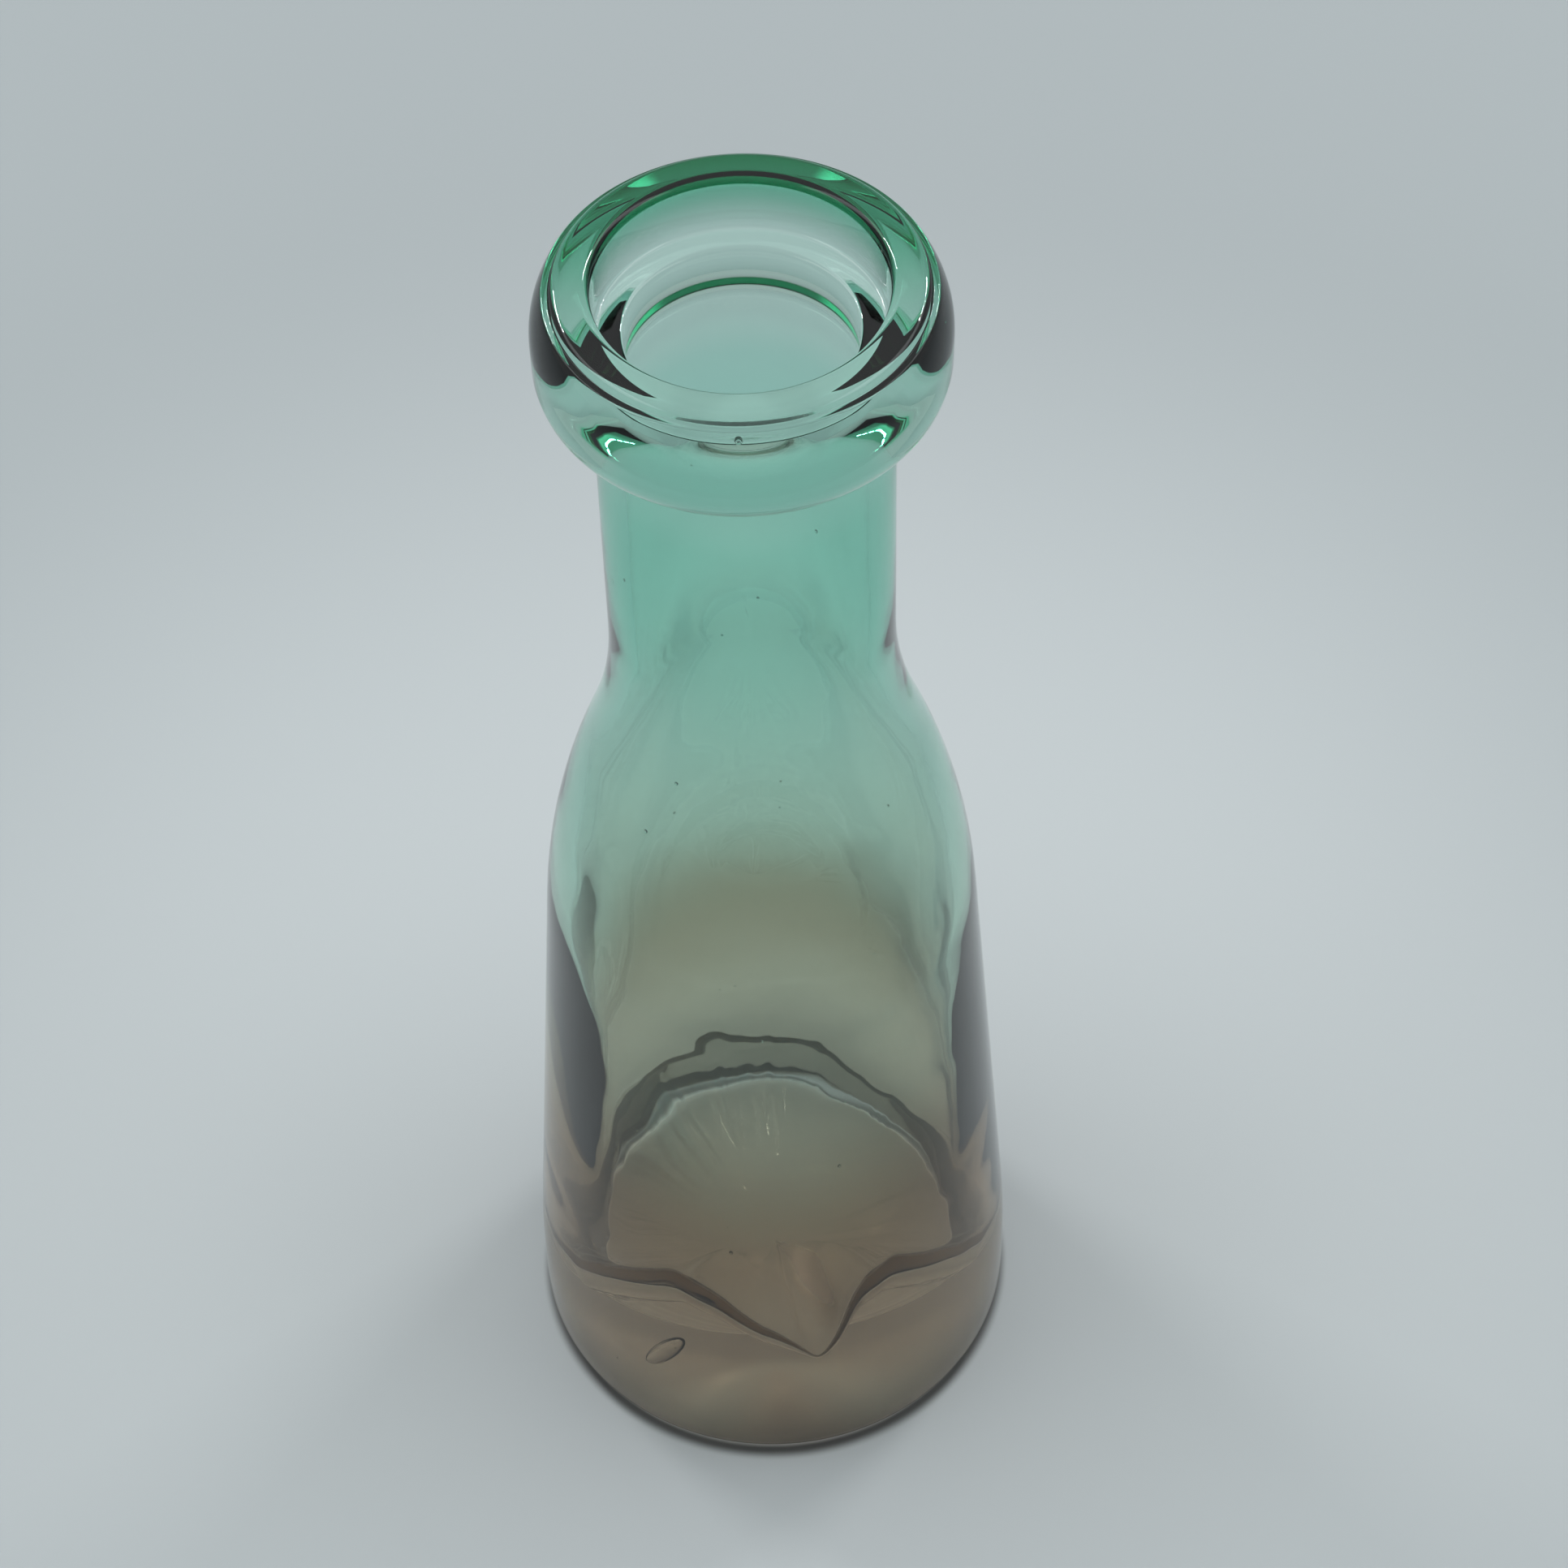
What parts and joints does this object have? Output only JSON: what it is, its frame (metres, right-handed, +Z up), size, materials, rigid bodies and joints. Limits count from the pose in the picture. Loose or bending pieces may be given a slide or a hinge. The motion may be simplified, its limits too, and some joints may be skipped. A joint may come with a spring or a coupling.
{
  "type": "milk bottle",
  "caption": "Tall round glass milk bottle with a bulb lip, an inner cap seat, a straight neck, an ogee shoulder and a body flaring to a flat base, tinted green above and smoky brown below.",
  "frame": {"origin": "centre of the base, on the plane that the bottle stands on", "axes": "+Z up along the bottle's axis and out of its mouth; X and Y are free, because the bottle is round"},
  "size_m": [0.0834, 0.0834, 0.2476],
  "materials": {
    "tinted_glass": "clear moulded glass with a translucent tint on its outside, green from the lip down to the body and fading to smoky brown at the base"
  },
  "bodies": {
    "root": {"glass_bottle": "tinted_glass"}
  },
  "joints": []
}
